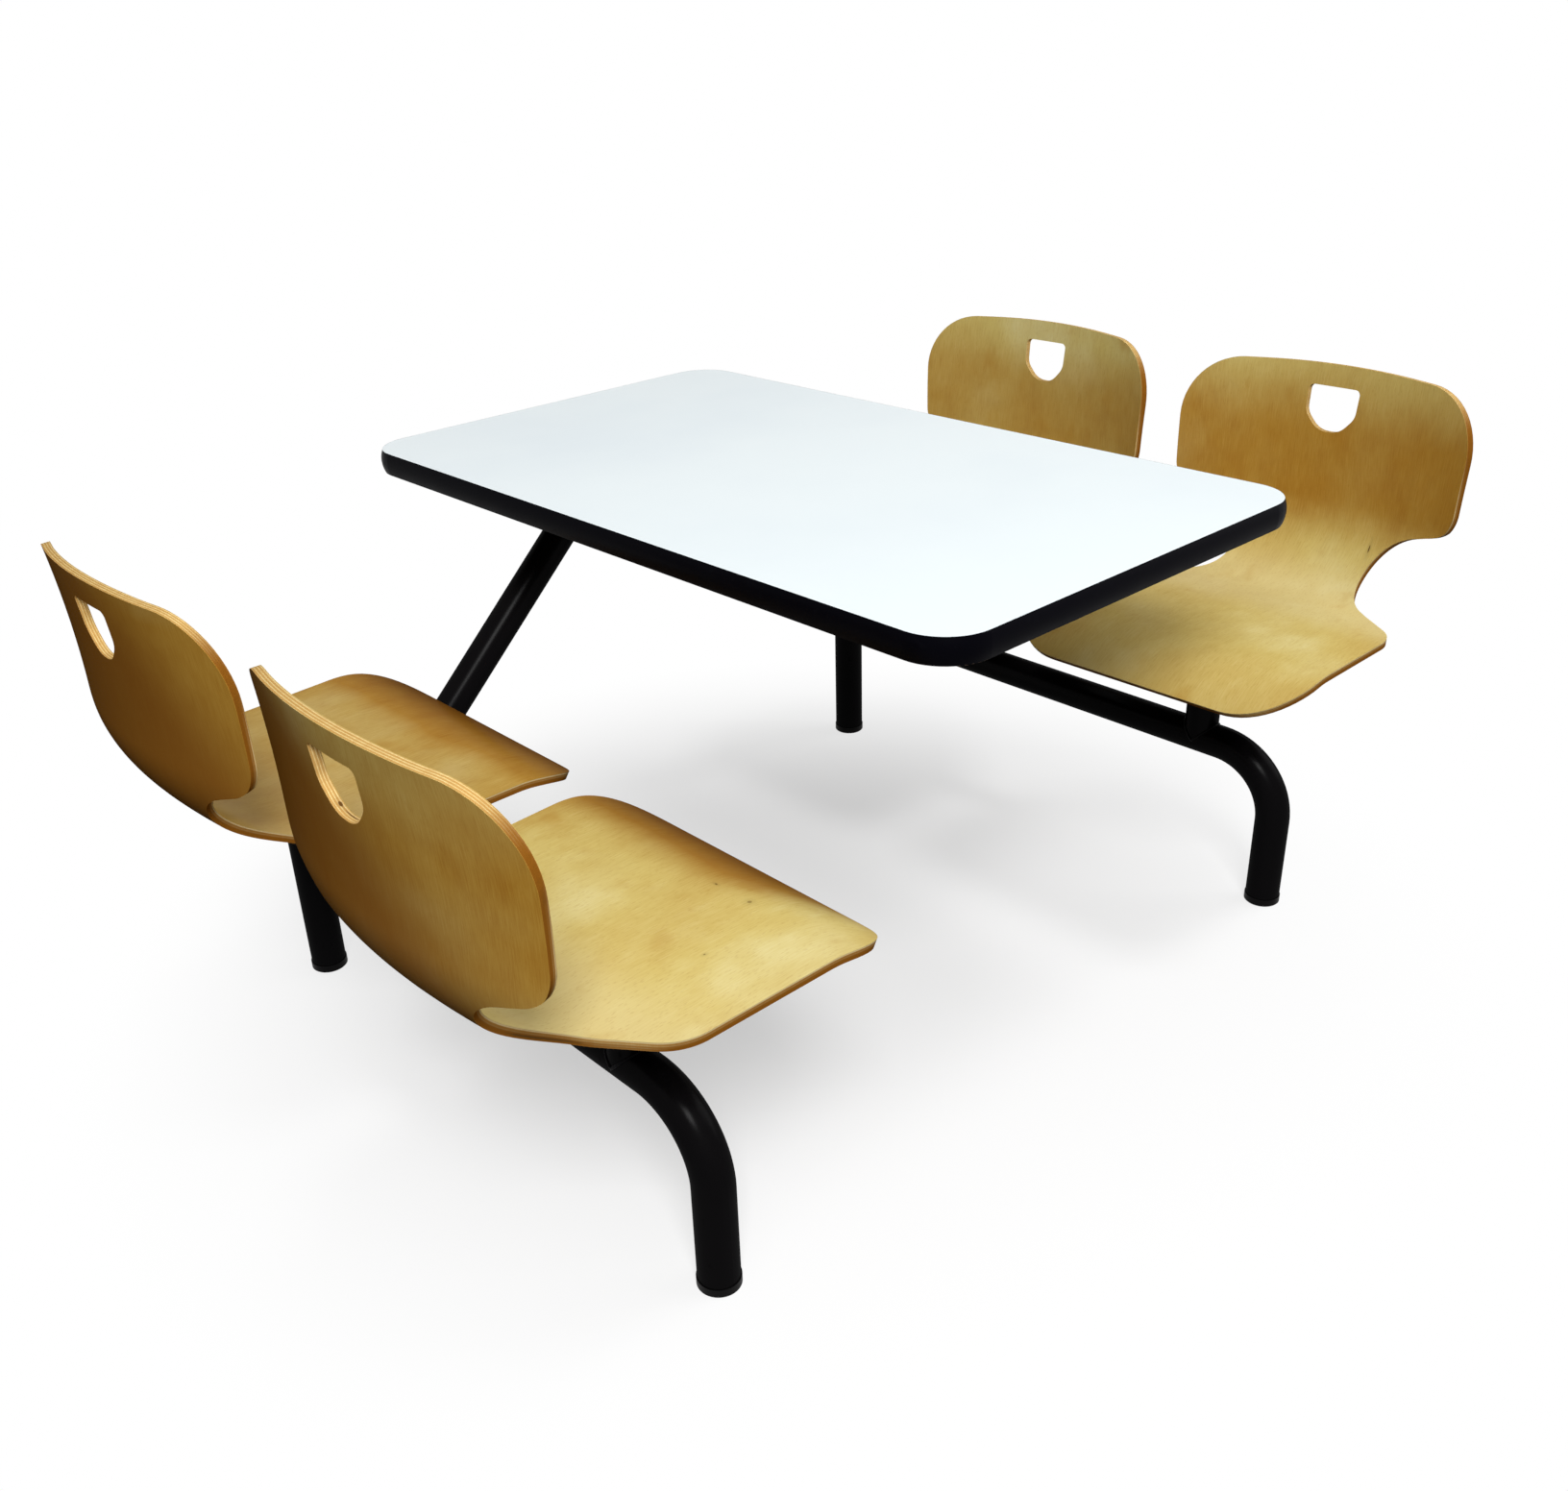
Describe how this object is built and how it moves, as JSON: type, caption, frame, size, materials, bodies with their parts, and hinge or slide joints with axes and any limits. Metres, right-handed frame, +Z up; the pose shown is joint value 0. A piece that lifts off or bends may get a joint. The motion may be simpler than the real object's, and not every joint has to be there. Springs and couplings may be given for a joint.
{
  "type": "table with attached swivel seats",
  "caption": "Rectangular laminate table carried by bent steel tubes, with moulded plywood seats on posts that swivel a little and spring back.",
  "frame": {"origin": "on the floor under the middle of the table top", "axes": "+X along the table, away from the end that carries the braces; +Y towards the far pair of seats; +Z up"},
  "size_m": [1.115, 1.722, 0.762],
  "materials": {
    "white_laminate": "satin high-pressure laminate",
    "particle_board": "raw particle board",
    "backing_sheet": "plain balancing laminate",
    "black_edge": "extruded vinyl edge strip",
    "black_tube": "satin black powder coat",
    "black_steel": "satin black powder coat",
    "black_plastic": "moulded plastic",
    "lacquered_ply": "clear lacquered beech veneer",
    "zinc_steel": "bright zinc plate",
    "spring_steel": "phosphated spring steel",
    "brass": "turned brass",
    "nylon": "natural nylon",
    "rubber": "moulded rubber"
  },
  "bodies": {
    "frame": {"table_core": "particle_board", "table_laminate": "white_laminate", "table_backer": "backing_sheet", "table_edge": "black_edge", "table_rails": "black_steel", "table_spine": "black_tube", "table_screws": "zinc_steel", "near_beam": "black_tube", "far_beam": "black_tube", "near_left_leg": "black_tube", "far_left_leg": "black_tube", "near_brace": "black_tube", "far_brace": "black_tube", "near_left_foot": "black_plastic", "near_right_foot": "black_plastic", "far_left_foot": "black_plastic", "far_right_foot": "black_plastic", "end_caps": "black_plastic", "near_left_post": "black_tube", "near_left_bushes": "nylon", "near_left_sleeve": "rubber", "near_right_post": "black_tube", "near_right_bushes": "nylon", "near_right_sleeve": "rubber", "far_left_post": "black_tube", "far_left_bushes": "nylon", "far_left_sleeve": "rubber", "far_right_post": "black_tube", "far_right_bushes": "nylon", "far_right_sleeve": "rubber"},
    "near_left_seat": {"near_left_shell": "lacquered_ply", "near_left_bracket": "black_steel", "near_left_inserts": "brass", "near_left_bolts": "zinc_steel", "near_left_spindle": "zinc_steel", "near_left_pin": "zinc_steel", "near_left_circlip": "spring_steel"},
    "near_right_seat": {"near_right_shell": "lacquered_ply", "near_right_bracket": "black_steel", "near_right_inserts": "brass", "near_right_bolts": "zinc_steel", "near_right_spindle": "zinc_steel", "near_right_pin": "zinc_steel", "near_right_circlip": "spring_steel"},
    "far_left_seat": {"far_left_shell": "lacquered_ply", "far_left_bracket": "black_steel", "far_left_inserts": "brass", "far_left_bolts": "zinc_steel", "far_left_spindle": "zinc_steel", "far_left_pin": "zinc_steel", "far_left_circlip": "spring_steel"},
    "far_right_seat": {"far_right_shell": "lacquered_ply", "far_right_bracket": "black_steel", "far_right_inserts": "brass", "far_right_bolts": "zinc_steel", "far_right_spindle": "zinc_steel", "far_right_pin": "zinc_steel", "far_right_circlip": "spring_steel"}
  },
  "joints": [
    {"name": "near_left_swivel", "type": "hinge", "parent": "frame", "child": "near_left_seat", "pos_m": [-0.238, -0.569, 0.4], "axis": [0, 0, 1], "range_deg": [-8, 8], "stiffness_Nm_per_rad": 15},
    {"name": "near_right_swivel", "type": "hinge", "parent": "frame", "child": "near_right_seat", "pos_m": [0.307, -0.569, 0.4], "axis": [0, 0, 1], "range_deg": [-8, 8], "stiffness_Nm_per_rad": 15},
    {"name": "far_left_swivel", "type": "hinge", "parent": "frame", "child": "far_left_seat", "pos_m": [-0.238, 0.569, 0.4], "axis": [0, 0, 1], "range_deg": [-8, 8], "stiffness_Nm_per_rad": 15},
    {"name": "far_right_swivel", "type": "hinge", "parent": "frame", "child": "far_right_seat", "pos_m": [0.307, 0.569, 0.4], "axis": [0, 0, 1], "range_deg": [-8, 8], "stiffness_Nm_per_rad": 15}
  ]
}
